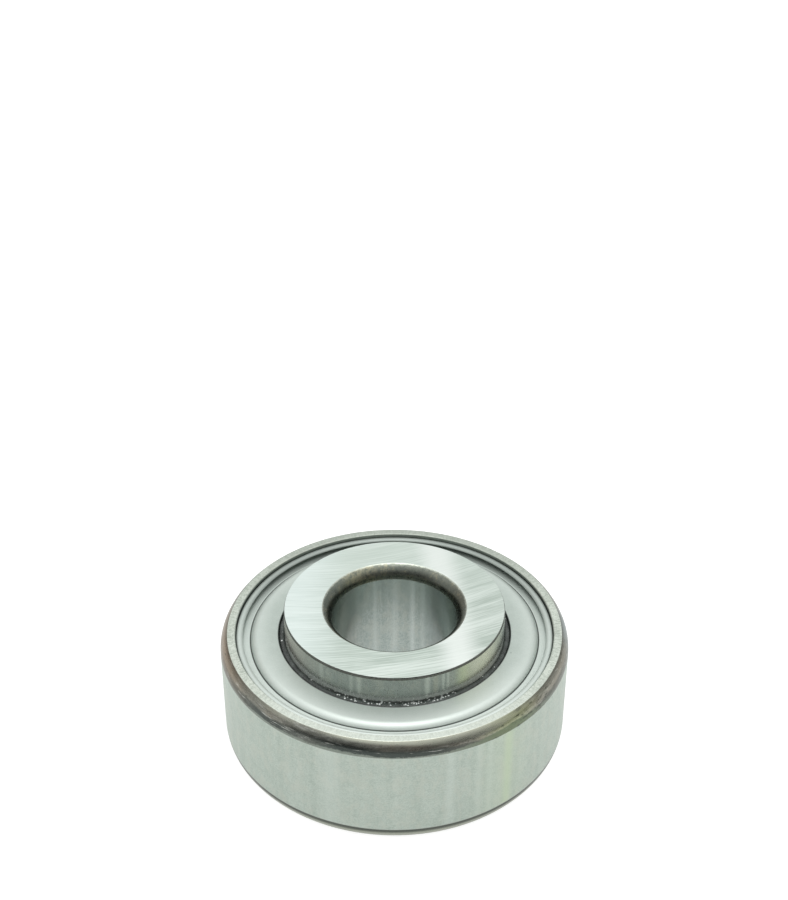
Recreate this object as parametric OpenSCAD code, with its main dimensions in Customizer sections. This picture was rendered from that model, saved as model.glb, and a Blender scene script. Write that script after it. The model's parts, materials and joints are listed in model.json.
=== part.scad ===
// Sealed ball bearing with one long inner ring, for a wheel or disc hub.
// The flush side lies on Z = 0, the bearing axis is Z, and the inner ring stands out at the top.
// All sizes are in millimetres.

/* [Rings] */
// Outside diameter of the outer ring
outer_d = 45.225; // [42:0.005:56]
// Bore of the inner ring, a clearance hole for a 5/8 inch bolt
bore_d = 16.256; // [12:0.001:20]
// Width of the outer ring
outer_w = 15.494; // [14.8:0.002:18]
// How far the inner ring stands out past the outer ring at the top
inner_extension = 3.175; // [1:0.005:8]
// Wall of the outer ring round each end recess, which holds a cap
recess_wall = 2; // [1.6:0.05:2.6]
// Width of the ledge in each recess that a cap rests on
ledge_w = 1.36; // [1.1:0.02:1.6]
// Depth from the outer ring's end face to the ledge that a cap rests on
ledge_depth = 1.544; // [1.3:0.002:1.8]

/* [Corners] */
// Width of the outer ring's turned corner, measured along its end face
outer_corner_radial = 0.94; // [0.4:0.01:1.1]
// Length of the outer ring's turned corner, measured along its outside
outer_corner_axial = 1.95; // [1.2:0.01:2.4]
// Width of the bore's turned corner, measured along the end face
bore_corner_radial = 1.2; // [0.6:0.01:1.5]
// Length of the bore's turned corner, measured along the bore
bore_corner_axial = 1.85; // [1.2:0.01:2.2]
// Width of the small corner outside the inner ring's end faces
shoulder_corner_radial = 0.1; // [0.08:0.01:0.4]
// Length of the small corner outside the inner ring's end faces
shoulder_corner_axial = 0.34; // [0.3:0.01:0.6]
// Angle of the crease where a corner's curve meets the ground outside or bore, in degrees
corner_crease = 2.5; // [2:0.5:6]
// Small bevel where the outer ring's end face meets its recess
recess_bevel = 0.1; // [0.05:0.01:0.2]

/* [Balls and raceways] */
// Diameter of a ball, 5/16 inch
ball_d = 7.9375; // [7.4:0.0005:8.2]
// Number of balls
ball_count = 8; // [6:1:9]
// Depth to which a ball sits in each ring, below the plain lands beside the raceway
groove_depth = 1.47; // [1:0.01:1.8]
// Angle at which a ball touches each flank of the pointed raceways
contact_angle = 30; // [15:1:35]
// How much larger the radius of a raceway flank is than the ball's radius
flank_ease = 0.24; // [0.1:0.01:0.4]
// Bevel where a raceway meets its lands
raceway_bevel = 0.25; // [0.1:0.01:0.4]

/* [Ball cage] */
// Wall of the cage behind and beside a ball
cage_wall = 0.5; // [0.4:0.05:0.8]
// How far the snap claws reach past the ball centres, towards the top
claw_reach = 1.2; // [0.6:0.05:1.6]
// Depth below the ball centres at which the bridges between the pockets begin
bridge_top = 1.5; // [1:0.05:2]
// Thickness of those bridges along the axis
bridge_h = 2.1; // [1.5:0.05:2.4]

/* [Caps] */
// Thickness of a cap's sheet
sheet_t = 0.35; // [0.25:0.01:0.4]
// Outer radius of the rolled rim
curl_r = 0.58; // [0.5:0.01:0.64]
// How far the rolled rim turns back past its crest, in degrees
curl_back = 55; // [20:1:80]
// Width of the flat web, from the middle of the rim to the foot of the dished centre
web_w = 1.42; // [1.2:0.01:1.6]
// Height of the dished centre above the web
dish_rise = 0.6; // [0.5:0.01:0.75]
// Slope of the dish's side, in degrees
dish_slope = 57; // [35:1:60]
// Inside bend radius at the foot of the dish
foot_bend = 0.06; // [0.05:0.01:0.15]
// Largest outside bend radius at the shoulder of the dish
shoulder_bend = 1.2; // [0.6:0.01:1.3]

/* [Seal rings] */
// How far the upper rubber ring, with two lips, reaches inwards past the cap's web
upper_seal_depth = 0.85; // [0.6:0.01:1]
// How far the lower rubber ring, with one lip, reaches inwards past the cap's web
lower_seal_depth = 0.4; // [0.3:0.01:0.6]
// Width of the bare strip of cap inside the rubber
bare_strip = 0.45; // [0.3:0.01:0.6]
// Thickness of a lip at its root
lip_root_t = 0.34; // [0.25:0.01:0.4]
// Thickness of a lip at its tip
lip_tip_t = 0.16; // [0.1:0.01:0.2]
// How far a lip leans outwards over its height
lip_lean = 0.3; // [0.15:0.01:0.4]

/* [Clearances] */
// Between a ball and each raceway flank
raceway_gap = 0.02; // [0.01:0.005:0.05]
// Between a ball and its cage pocket
pocket_gap = 0.12; // [0.08:0.01:0.2]
// Between the cage and the lands of both rings
cage_gap = 0.62; // [0.4:0.01:0.8]
// Between a seal lip and the inner ring
lip_gap = 0.05; // [0.03:0.005:0.1]
// Between a cap's inner edge and the inner ring
cap_gap = 0.8; // [0.6:0.01:1]
// Between a cap's rolled rim and its snap groove
rim_gap = 0.02; // [0.01:0.005:0.04]
// Depth of the snap groove in the outer ring's recess
snap_depth = 0.12; // [0.05:0.01:0.18]

/* [Hidden] */
$fn = 96;

// Margin by which a cutting shape runs past the surface it cuts
over = 1;
// Largest turn between two points of a bend in the sheet, in degrees
bend_step = 7.5;

outer_r = outer_d / 2;
bore_r = bore_d / 2;
inner_w = outer_w + inner_extension;
mid_z = outer_w / 2;

// From the outside inwards: recess, land, circle of ball centres, and the inner ring's shoulder
ball_r = ball_d / 2;
recess_r = outer_r - recess_wall;
land_r = recess_r - ledge_w;
pitch_r = land_r - (ball_r - groove_depth);
shoulder_r = pitch_r - (ball_r - groove_depth);
ball_step = 360 / ball_count;
flank_r = ball_r + flank_ease;

// The rolled rim is a ring of sheet round this centre, measured from the ledge
rim_reach = recess_r + snap_depth - rim_gap;
curl_x = rim_reach - curl_r;
curl_y = curl_r;

// Foot and shoulder bends of the dish, measured from the ledge. The dish's side keeps a short
// straight stretch between them, at least as high as least_slope.
foot_x = curl_x - web_w;
foot_y = sheet_t + foot_bend;
least_slope = 0.02;
bend_room = (dish_rise - least_slope) / (1 - cos(dish_slope)) - foot_bend;
crown_bend = min(shoulder_bend, bend_room);
bend_fall = (foot_bend + crown_bend) * (1 - cos(dish_slope));
slope_len = (dish_rise - bend_fall) / sin(dish_slope);
crown_x = foot_x - (foot_bend + crown_bend) * sin(dish_slope) - slope_len * cos(dish_slope);
crown_y = sheet_t + dish_rise - crown_bend;
cap_inner_r = shoulder_r + cap_gap;

seal_inner_r = cap_inner_r + bare_strip;
lip_r = shoulder_r + lip_gap;
seal_toe = 0.25;

pocket_r = ball_r + pocket_gap;
cup_r = pocket_r + cage_wall;
cage_inner_r = shoulder_r + cage_gap;
cage_outer_r = land_r - cage_gap;

// Points of an arc round a centre, from angle a to angle b
function arc(centre, r, a, b) =
    let (steps = ceil(abs(b - a) / bend_step))
    [for (i = [0 : steps]) let (t = a + (b - a) * i / steps) centre + r * [cos(t), sin(t)]];

// What a turned corner takes off a ring whose sharp corner is at the origin, up and to the right.
// The curve left behind runs from [-radial, 0] to [0, -axial] and meets the side at the crease angle.
module corner_cut(radial, axial) {
    chord = norm([radial, axial]);
    half_turn = atan2(radial, axial) - corner_crease;
    back = chord / 2 / tan(half_turn);
    translate([-radial, -axial] / 2 - back * [axial, radial] / chord)
        difference() {
            square(back + chord);
            circle(chord / 2 / sin(half_turn));
        }
}

// Pointed raceway: two flanks that each touch the ball at the contact angle.
// side is 1 for the outer ring and -1 for the inner ring.
module raceway(side) {
    translate([pitch_r - side * flank_ease * cos(contact_angle), mid_z])
        intersection_for (s = [-1, 1])
            translate([0, s * flank_ease * sin(contact_angle)])
                circle(flank_r + raceway_gap);
}

// Half the width of a raceway at radius r
function raceway_half_w(side, r) =
    let (rise = side * (r - pitch_r) + flank_ease * cos(contact_angle))
    sqrt(pow(flank_r + raceway_gap, 2) - rise * rise) - flank_ease * sin(contact_angle);

// Bevel on both edges of a raceway, half as deep as it is wide, where it opens at the land radius.
// Its line runs on past the raceway's edge, as far again as the bevel is long.
module raceway_bevels(side, at_r) {
    wide = raceway_half_w(side, at_r) + raceway_bevel;
    edge = raceway_half_w(side, at_r + side * raceway_bevel / 2);
    past = 2 * edge - wide;
    translate([at_r, mid_z])
        polygon([
            [side * raceway_bevel, past],
            [0, wide],
            [-side * raceway_bevel, wide],
            [-side * raceway_bevel, -wide],
            [0, -wide],
            [side * raceway_bevel, -past]
        ]);
}

// Copies a flat section to the other end of the outer ring
module both_ends() {
    children();
    translate([0, outer_w])
        mirror([0, 1])
            children();
}

// Shallow round groove in the recess wall, which the rolled rim snaps into
module snap_groove() {
    intersection() {
        translate([curl_x, outer_w - ledge_depth + curl_y])
            circle(curl_r + rim_gap);
        translate([recess_r - snap_depth, outer_w - ledge_depth])
            square([over, 2 * curl_r]);
    }
}

module outer_section() {
    ledge_z = outer_w - ledge_depth;
    difference() {
        polygon([
            [land_r, ledge_depth],
            [recess_r, ledge_depth],
            [recess_r, recess_bevel],
            [recess_r + recess_bevel, 0],
            [outer_r, 0],
            [outer_r, outer_w],
            [recess_r + recess_bevel, outer_w],
            [recess_r, outer_w - recess_bevel],
            [recess_r, ledge_z],
            [land_r, ledge_z]
        ]);
        both_ends()
            translate([outer_r, outer_w])
                corner_cut(outer_corner_radial, outer_corner_axial);
        both_ends()
            snap_groove();
        raceway(1);
        raceway_bevels(1, land_r);
    }
}

module inner_section() {
    difference() {
        translate([bore_r, 0])
            square([shoulder_r - bore_r, inner_w]);
        for (end = [0, 1])
            translate([0, end * inner_w])
                mirror([0, 1 - end]) {
                    translate([shoulder_r, 0])
                        corner_cut(shoulder_corner_radial, shoulder_corner_axial);
                    translate([bore_r, 0])
                        mirror([1, 0])
                            corner_cut(bore_corner_radial, bore_corner_axial);
                }
        raceway(-1);
        raceway_bevels(-1, shoulder_r);
    }
}

// Section of a cap, measured up from the ledge that it rests on: one strip of sheet that runs out
// along the crown, down the dish, along the web and round the rolled rim, and back underneath
module cap_section() {
    crown = [crown_x, crown_y];
    foot = [foot_x, foot_y];
    curl = [curl_x, curl_y];
    polygon(concat(
        [[cap_inner_r, sheet_t + dish_rise]],
        arc(crown, crown_bend, 90, 90 - dish_slope),
        arc(foot, foot_bend, -90 - dish_slope, -90),
        arc(curl, curl_r - sheet_t, -90, 90 + curl_back),
        arc(curl, curl_r, 90 + curl_back, -90),
        arc(foot, foot_bend + sheet_t, -90, -90 - dish_slope),
        arc(crown, crown_bend - sheet_t, 90 - dish_slope, 90),
        [[cap_inner_r, dish_rise]]
    ));
}

// One lip of a seal ring, leaning outwards, with the middle of its root at height y
module lip(y) {
    tip_y = y + lip_lean;
    polygon([
        [seal_inner_r + lip_root_t, y - lip_root_t / 2],
        [seal_inner_r + lip_root_t, y + lip_root_t / 2],
        [seal_inner_r, y + lip_root_t / 2],
        [lip_r, tip_y + lip_tip_t / 2],
        [lip_r, tip_y - lip_tip_t / 2],
        [seal_inner_r, y - lip_root_t / 2]
    ]);
}

// Section of a rubber ring bonded under the dish, with a lip rooted at each of the given heights
module seal_section(depth, lip_roots) {
    mid_sheet = sheet_t / 2;
    difference() {
        union() {
            polygon([
                [seal_inner_r, -depth],
                [crown_x - seal_toe, -depth],
                [foot_x - seal_toe, 0],
                [foot_x, mid_sheet],
                [crown_x, dish_rise + mid_sheet],
                [seal_inner_r, dish_rise + mid_sheet]
            ]);
            for (y = lip_roots)
                lip(y);
        }
        cap_section();
    }
}

// Stands what is measured from the ledge at the top of the bearing
module at_top() {
    translate([0, 0, outer_w - ledge_depth])
        children();
}

// Stands it at the bottom, facing down
module at_bottom() {
    translate([0, 0, ledge_depth])
        mirror([0, 0, 1])
            children();
}

module outer_ring() {
    color([0.74, 0.77, 0.74])
        rotate_extrude()
            outer_section();
}

module inner_ring() {
    color([0.80, 0.82, 0.80])
        rotate_extrude()
            inner_section();
}

module cap() {
    color([0.72, 0.74, 0.73])
        rotate_extrude()
            cap_section();
}

module upper_cap() {
    at_top()
        cap();
}

module lower_cap() {
    at_bottom()
        cap();
}

module upper_seal() {
    lip_pitch = (dish_rise + upper_seal_depth) / 2;
    first_lip = dish_rise - lip_pitch / 2 - lip_lean / 2;
    color([0.06, 0.06, 0.06])
        at_top()
            rotate_extrude()
                seal_section(upper_seal_depth, [first_lip, first_lip - lip_pitch]);
}

module lower_seal() {
    only_lip = (dish_rise - lower_seal_depth - lip_lean) / 2;
    color([0.06, 0.06, 0.06])
        at_bottom()
            rotate_extrude()
                seal_section(lower_seal_depth, [only_lip]);
}

// Places a copy of what follows at the centre of ball number i; +X points midway between two balls
module at_ball(i) {
    rotate([0, 0, (i - 0.5) * ball_step])
        translate([pitch_r, 0, mid_z])
            children();
}

module ball(i) {
    color([0.82, 0.84, 0.85])
        at_ball(i)
            sphere(ball_r);
}

// Crown cage: cups round the backs of the balls, bridges between them and claws that snap over
module ball_cage() {
    color([0.85, 0.80, 0.66])
        difference() {
            intersection() {
                union() {
                    translate([0, 0, mid_z - bridge_top - bridge_h])
                        cylinder(r = pitch_r + cup_r, h = bridge_h);
                    for (i = [1 : ball_count])
                        at_ball(i)
                            sphere(cup_r);
                }
                translate([0, 0, mid_z - cup_r - over])
                    cylinder(r = cage_outer_r, h = cup_r + over + claw_reach);
            }
            translate([0, 0, mid_z - cup_r - 2 * over])
                cylinder(r = cage_inner_r, h = 2 * (cup_r + 2 * over));
            for (i = [1 : ball_count])
                at_ball(i)
                    sphere(pocket_r);
        }
}

outer_ring();
inner_ring();
ball_cage();
upper_cap();
upper_seal();
lower_cap();
lower_seal();
for (i = [1 : ball_count])
    ball(i);
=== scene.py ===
"""Looks of a sealed ball bearing with one long inner ring: turned pieces, finishes, light and camera.

Sections of turned pieces are drawn in millimetres, as (radius, height) from the bearing's flush side.
"""
import json
import math
import random

import bpy
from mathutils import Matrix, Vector, noise


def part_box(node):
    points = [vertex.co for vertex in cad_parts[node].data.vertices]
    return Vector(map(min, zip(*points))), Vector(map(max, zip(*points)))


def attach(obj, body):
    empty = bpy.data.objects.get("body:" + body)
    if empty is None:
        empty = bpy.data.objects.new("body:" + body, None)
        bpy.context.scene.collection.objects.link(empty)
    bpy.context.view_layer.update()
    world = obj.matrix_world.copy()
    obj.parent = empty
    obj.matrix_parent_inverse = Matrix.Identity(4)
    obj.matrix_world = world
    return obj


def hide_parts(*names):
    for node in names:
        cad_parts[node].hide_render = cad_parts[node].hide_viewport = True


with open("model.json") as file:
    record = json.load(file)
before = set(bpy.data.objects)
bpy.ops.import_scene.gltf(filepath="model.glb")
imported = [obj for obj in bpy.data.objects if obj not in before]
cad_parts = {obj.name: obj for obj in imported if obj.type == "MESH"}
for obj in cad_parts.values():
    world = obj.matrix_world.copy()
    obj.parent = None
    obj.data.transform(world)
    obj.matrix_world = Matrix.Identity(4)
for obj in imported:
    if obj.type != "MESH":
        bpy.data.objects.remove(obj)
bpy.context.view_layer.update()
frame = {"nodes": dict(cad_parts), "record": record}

MM = 0.001

# Sizes, in mm
outer_low, outer_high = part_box("outer_ring")
inner_low, inner_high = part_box("inner_ring")
cap_low, cap_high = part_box("upper_cap")
mounts = {m["name"]: m for m in frame["record"]["mounts"]}

OUTER_R = outer_high.x / MM
OUTER_W = outer_high.z / MM
SHOULDER_R = inner_high.x / MM
INNER_W = inner_high.z / MM
BORE_R = mounts["bore"]["dims"]["r_mm"]
LEDGE_Z = cap_low.z / MM
RIM_REACH = cap_high.x / MM
MID_Z = OUTER_W / 2

RECESS_WALL = 2.0
LEDGE_W = 1.36
RECESS_R = OUTER_R - RECESS_WALL
LAND_R = RECESS_R - LEDGE_W
PITCH_R = (LAND_R + SHOULDER_R) / 2
OUTER_CORNER = (0.94, 1.95)
BORE_CORNER = (1.2, 1.85)
SHOULDER_CORNER = (0.1, 0.34)
CORNER_CREASE = 2.5
RECESS_BEVEL = 0.1

BALL_R = 7.9375 / 2
FLANK_EASE = 0.24
FLANK_R = BALL_R + FLANK_EASE + 0.02
CONTACT_ANGLE = 30
RACEWAY_BEVEL = 0.25

SHEET_T = 0.35
CURL_R = 0.58
CURL_BACK = 55
WEB_W = 1.42
DISH_RISE = 0.6
DISH_SLOPE = 57
FOOT_BEND = 0.06
SHOULDER_BEND = 1.2
CAP_GAP = 0.8

WHEEL_AT = (-12.7, 49.7)

ROUND_STEPS = 320


# Sections
def arc(centre, radius, start, end, step=4.0):
    """Points of an arc round centre, from angle start to angle end, in degrees."""
    count = max(2, math.ceil(abs(end - start) / step))
    angles = [math.radians(start + (end - start) * i / count) for i in range(count + 1)]
    return [(centre[0] + radius * math.cos(a), centre[1] + radius * math.sin(a)) for a in angles]


def corner_curve(at_r, at_z, radial, axial, out, up):
    """Curve of a turned corner, from the side to the end face; out and up are 1 or -1."""
    chord = math.hypot(radial, axial)
    half_turn = math.atan2(radial, axial) - math.radians(CORNER_CREASE)
    back = chord / 2 / math.tan(half_turn)
    centre = (-radial / 2 - back * axial / chord, -axial / 2 - back * radial / chord)
    reach = chord / 2 / math.sin(half_turn)
    start = math.degrees(math.atan2(-axial - centre[1], -centre[0]))
    end = math.degrees(math.atan2(-centre[1], -radial - centre[0]))
    points = arc(centre, reach, start, end, 3.0)
    return [(at_r + out * x, at_z + up * y) for x, y in points]


def raceway_curve(side):
    """Upper half of a pointed raceway, from its bevel down to the middle; side is 1 outside, -1 inside."""
    land = LAND_R if side > 0 else SHOULDER_R
    lean = math.radians(CONTACT_ANGLE)
    centre_x = FLANK_EASE * math.cos(lean)
    centre_y = FLANK_EASE * math.sin(lean)

    def half_w(r):
        return math.sqrt(FLANK_R ** 2 - (side * (r - PITCH_R) + centre_x) ** 2) - centre_y

    edge_r = land + side * RACEWAY_BEVEL / 2
    start = math.degrees(math.asin((half_w(edge_r) + centre_y) / FLANK_R))
    end = math.degrees(math.asin(centre_y / FLANK_R))
    flank = arc((-centre_x, -centre_y), FLANK_R, start, end, 5.0)
    curve = [(PITCH_R + side * x, MID_Z + y) for x, y in flank]
    return [(land, MID_Z + half_w(land) + RACEWAY_BEVEL)] + curve


class Section:
    """A closed section. Each point carries the finish of the stretch that leads to it, and how far
    its corner is rounded."""

    def __init__(self):
        self.points = []

    def to(self, r, z, finish, soft=0.0):
        self.points.append((r, z, finish, soft))
        return self

    def along(self, points, finish, soft_ends=0.0):
        for i, (r, z) in enumerate(points):
            ends = i in (0, len(points) - 1)
            self.to(r, z, finish, soft_ends if ends else 0.0)
        return self

    def mirrored(self, about_z, middle_finish):
        """Adds the same stretches again on the other side of height about_z, backwards."""
        half = list(self.points)
        for i in range(len(half) - 1, -1, -1):
            r, z, _, soft = half[i]
            finish = half[i + 1][2] if i + 1 < len(half) else middle_finish
            self.to(r, 2 * about_z - z, finish, soft)
        return self

    def renamed(self, finishes, below):
        """Gives stretches that lie below a height another finish."""
        self.points = [(r, z, finishes.get(finish, finish) if z < below else finish, soft)
                       for r, z, finish, soft in self.points]
        return self

    def softened(self):
        """The points with each marked corner turned into a small round, held by a point beside it."""
        result = []
        count = len(self.points)
        for i, (r, z, finish, soft) in enumerate(self.points):
            after = self.points[(i + 1) % count]
            if soft <= 0:
                result.append((r, z, finish))
                continue
            here = Vector((r, z))
            back = Vector(self.points[i - 1][:2]) - here
            on = Vector(after[:2]) - here
            span = min(soft, back.length * 0.3, on.length * 0.3)
            a, b = back.normalized() * span, on.normalized() * span
            result.append((*(here + a * 1.6), finish))
            for t in (0.0, 0.25, 0.5, 0.75, 1.0):
                point = here + a * (1 - t) ** 2 + b * t ** 2
                result.append((*point, finish if t <= 0.5 else after[2]))
            result.append((*(here + b * 1.6), after[2]))
        return result


def turned(name, section, materials, uv_for=None):
    """Turns a section round the bearing axis into one closed mesh, each stretch with its finish.
    The map named grain runs along the tool's strokes in its first direction, in mm."""
    points = section.softened()
    rows, steps = len(points), ROUND_STEPS
    verts = []
    for r, z, _ in points:
        for k in range(steps):
            a = 2 * math.pi * k / steps
            verts.append((r * math.cos(a) * MM, r * math.sin(a) * MM, z * MM))
    faces, finishes = [], []
    for i in range(rows):
        j = (i + 1) % rows
        for k in range(steps):
            n = (k + 1) % steps
            faces.append((i * steps + k, i * steps + n, j * steps + n, j * steps + k))
            finishes.append(points[j][2])
    mesh = bpy.data.meshes.new(name)
    mesh.from_pydata(verts, [], faces)
    names = list(dict.fromkeys(finishes))
    for finish in names:
        mesh.materials.append(materials[finish])
    mesh.polygons.foreach_set("material_index", [names.index(f) for f in finishes])
    mesh.polygons.foreach_set("use_smooth", [True] * len(faces))
    along = [0.0]
    for i in range(rows):
        a, b = points[i], points[(i + 1) % rows]
        along.append(along[-1] + math.hypot(a[0] - b[0], a[1] - b[1]))
    grain = mesh.uv_layers.new(name="grain")
    mapped = []
    for f, finish in enumerate(finishes):
        i, k = divmod(f, steps)
        j = (i + 1) % rows
        mean_r = (points[i][0] + points[j][0]) / 2
        for row, turn, length in ((i, k, along[i]), (i, k + 1, along[i]),
                                  (j, k + 1, along[i + 1]), (j, k, along[i + 1])):
            angle = 2 * math.pi * turn / steps
            if uv_for and finish in uv_for:
                mapped += uv_for[finish](points[row][0] * math.cos(angle), points[row][0] * math.sin(angle))
            else:
                mapped += (angle * mean_r, length)
    grain.data.foreach_set("uv", mapped)
    obj = bpy.data.objects.new(name, mesh)
    bpy.context.scene.collection.objects.link(obj)
    mesh.update()
    return obj


# Node sheets
class Sheet:
    """A node tree being laid out, with short ways to add the nodes that the finishes need."""

    def __init__(self, tree):
        self.tree = tree

    def node(self, kind, **settings):
        made = self.tree.nodes.new(kind)
        for key, value in settings.items():
            setattr(made, key, value)
        return made

    def feed(self, socket, value):
        if isinstance(value, bpy.types.NodeSocket):
            self.tree.links.new(value, socket)
        elif value is not None:
            if hasattr(socket.default_value, "__len__") and not hasattr(value, "__len__"):
                value = (value,) * len(socket.default_value)
            if socket.type == "RGBA" and len(value) == 3:
                value = (*value, 1.0)
            socket.default_value = value

    def math(self, operation, *values, clamp=False):
        made = self.node("ShaderNodeMath", operation=operation, use_clamp=clamp)
        for socket, value in zip(made.inputs, values):
            self.feed(socket, value)
        return made.outputs[0]

    def add(self, a, b):
        return self.math("ADD", a, b)

    def times(self, a, b):
        return self.math("MULTIPLY", a, b)

    def less(self, a, b):
        return self.math("SUBTRACT", a, b)

    def ease(self, value, low, high, to_low=0.0, to_high=1.0):
        made = self.node("ShaderNodeMapRange", interpolation_type="SMOOTHSTEP")
        for key, number in zip(("Value", "From Min", "From Max", "To Min", "To Max"),
                               (value, low, high, to_low, to_high)):
            self.feed(made.inputs[key], number)
        return made.outputs[0]

    def spread(self, value, low, high, to_low=0.0, to_high=1.0):
        made = self.node("ShaderNodeMapRange", clamp=True)
        for key, number in zip(("Value", "From Min", "From Max", "To Min", "To Max"),
                               (value, low, high, to_low, to_high)):
            self.feed(made.inputs[key], number)
        return made.outputs[0]

    def mix(self, factor, a, b, blend="MIX"):
        made = self.node("ShaderNodeMix", data_type="RGBA", blend_type=blend, clamp_factor=True)
        self.feed(made.inputs[0], factor)
        self.feed(made.inputs[6], a)
        self.feed(made.inputs[7], b)
        return made.outputs[2]

    def vector(self, x, y, z):
        made = self.node("ShaderNodeCombineXYZ")
        for socket, value in zip(made.inputs, (x, y, z)):
            self.feed(socket, value)
        return made.outputs[0]

    def split(self, vector):
        made = self.node("ShaderNodeSeparateXYZ")
        self.feed(made.inputs[0], vector)
        return made.outputs

    def scaled(self, vector, by):
        made = self.node("ShaderNodeVectorMath", operation="MULTIPLY")
        self.feed(made.inputs[0], vector)
        self.feed(made.inputs[1], by)
        return made.outputs[0]

    def moved(self, vector, by):
        made = self.node("ShaderNodeVectorMath", operation="ADD")
        self.feed(made.inputs[0], vector)
        self.feed(made.inputs[1], by)
        return made.outputs[0]

    def noise(self, vector, scale=1.0, detail=2.0, roughness=0.5, distortion=0.0):
        made = self.node("ShaderNodeTexNoise", noise_dimensions="3D")
        for key, value in (("Vector", vector), ("Scale", scale), ("Detail", detail),
                           ("Roughness", roughness), ("Distortion", distortion)):
            self.feed(made.inputs[key], value)
        return made.outputs["Fac"]

    def cells(self, vector, scale=1.0, feature="F1", jitter=1.0):
        made = self.node("ShaderNodeTexVoronoi", feature=feature)
        self.feed(made.inputs["Vector"], vector)
        self.feed(made.inputs["Scale"], scale)
        self.feed(made.inputs["Randomness"], jitter)
        return made.outputs

    def group(self, made_group, **values):
        made = self.node("ShaderNodeGroup", node_tree=made_group)
        for key, value in values.items():
            self.feed(made.inputs[key.replace("_", " ")], value)
        return made.outputs

    def bump(self, height, strength, distance, normal=None):
        made = self.node("ShaderNodeBump")
        self.feed(made.inputs["Height"], height)
        made.inputs["Strength"].default_value = strength
        made.inputs["Distance"].default_value = distance
        self.feed(made.inputs["Normal"], normal)
        return made.outputs[0]


SOCKETS = {"value": "NodeSocketFloat", "colour": "NodeSocketColor", "vector": "NodeSocketVector"}


def effect(name, takes, gives):
    """A shader node group for an effect, with its named sockets. Returns the group, its sheet, the
    inputs and a function that feeds the outputs."""
    group = bpy.data.node_groups.new(name, "ShaderNodeTree")
    for label, (kind, value) in takes.items():
        socket = group.interface.new_socket(label, in_out="INPUT", socket_type=SOCKETS[kind])
        if value is not None:
            socket.default_value = value
    for label, kind in gives.items():
        group.interface.new_socket(label, in_out="OUTPUT", socket_type=SOCKETS[kind])
    sheet = Sheet(group)
    inside = group.nodes.new("NodeGroupInput").outputs
    outside = group.nodes.new("NodeGroupOutput").inputs

    def give(**values):
        for key, value in values.items():
            sheet.feed(outside[key.replace("_", " ")], value)

    return group, sheet, inside, give


def make_place():
    """Where a point of a turned piece is, in mm: radius, height, degrees from the front towards +X,
    and a unit direction round the axis."""
    group, s, _, give = effect("Turned place", {}, {
        "Radius": "value", "Height": "value", "Degrees": "value", "Round": "vector", "Point": "vector"})
    coords = s.node("ShaderNodeTexCoord")
    point = s.scaled(coords.outputs["Object"], (1 / MM,) * 3)
    x, y, z = s.split(point)
    radius = s.math("SQRT", s.add(s.times(x, x), s.times(y, y)))
    degrees = s.times(s.math("ARCTAN2", x, s.times(y, -1.0)), 180 / math.pi)
    around = s.vector(s.math("DIVIDE", x, radius), s.math("DIVIDE", y, radius), 0.0)
    give(Radius=radius, Height=z, Degrees=degrees, Round=around, Point=point)
    return group


def make_strokes():
    """Fine scratches that a wheel or tool leaves along the first direction of the given vector."""
    group, s, inside, give = effect("Tool strokes", {
        "Vector": ("vector", None), "Length": ("value", 6.0), "Pitch": ("value", 0.2), "Seed": ("value", 0.0)},
        {"Strokes": "value", "Streaks": "value"})
    u, v, w = s.split(inside["Vector"])
    u = s.math("DIVIDE", u, inside["Length"])
    v = s.math("DIVIDE", v, inside["Pitch"])
    w = s.add(s.math("DIVIDE", w, inside["Pitch"]), inside["Seed"])
    fine = s.noise(s.vector(u, v, w), 1.0, 3.0, 0.6)
    wide = s.noise(s.vector(s.times(u, 0.6), s.times(v, 0.22), s.add(w, 31.0)), 1.0, 2.0, 0.55)
    give(Strokes=fine, Streaks=wide)
    return group


def make_mottle():
    """Soft uneven patches, and the fine even speckle of satin steel."""
    group, s, inside, give = effect("Satin mottle", {
        "Point": ("vector", None), "Size": ("value", 1.0), "Seed": ("value", 0.0)},
        {"Mottle": "value", "Speckle": "value"})
    place = s.moved(inside["Point"], s.vector(inside["Seed"], 0.0, 0.0))
    size = s.math("DIVIDE", 1.0, inside["Size"])
    broad = s.noise(place, s.times(size, 0.35), 2.0, 0.5)
    small = s.noise(place, size, 2.0, 0.65)
    give(Mottle=s.add(s.times(broad, 0.5), s.times(small, 0.5)), Speckle=s.noise(place, 5.5, 2.0, 0.7))
    return group


def make_nicks():
    """Small knocks and short scratches, thinly scattered."""
    group, s, inside, give = effect("Nicks", {
        "Point": ("vector", None), "Spacing": ("value", 2.0), "Share": ("value", 0.2), "Seed": ("value", 0.0)},
        {"Mask": "value", "Height": "value"})
    place = s.moved(inside["Point"], s.vector(inside["Seed"], inside["Seed"], inside["Seed"]))
    bent = s.moved(place, s.scaled(s.vector(s.noise(place, 1.3), s.noise(place, 1.7), 0.5), (0.6, 0.6, 0.6)))
    cells = s.cells(bent, s.math("DIVIDE", 1.0, inside["Spacing"]))
    pick = s.split(cells["Color"])[0]
    chosen = s.math("LESS_THAN", pick, inside["Share"])
    size = s.add(0.03, s.times(s.split(cells["Color"])[1], 0.05))
    spot = s.ease(s.math("DIVIDE", cells["Distance"], size), 1.0, 0.5)
    mask = s.times(spot, chosen)
    give(Mask=mask, Height=s.times(mask, -1.0))
    return group


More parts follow.
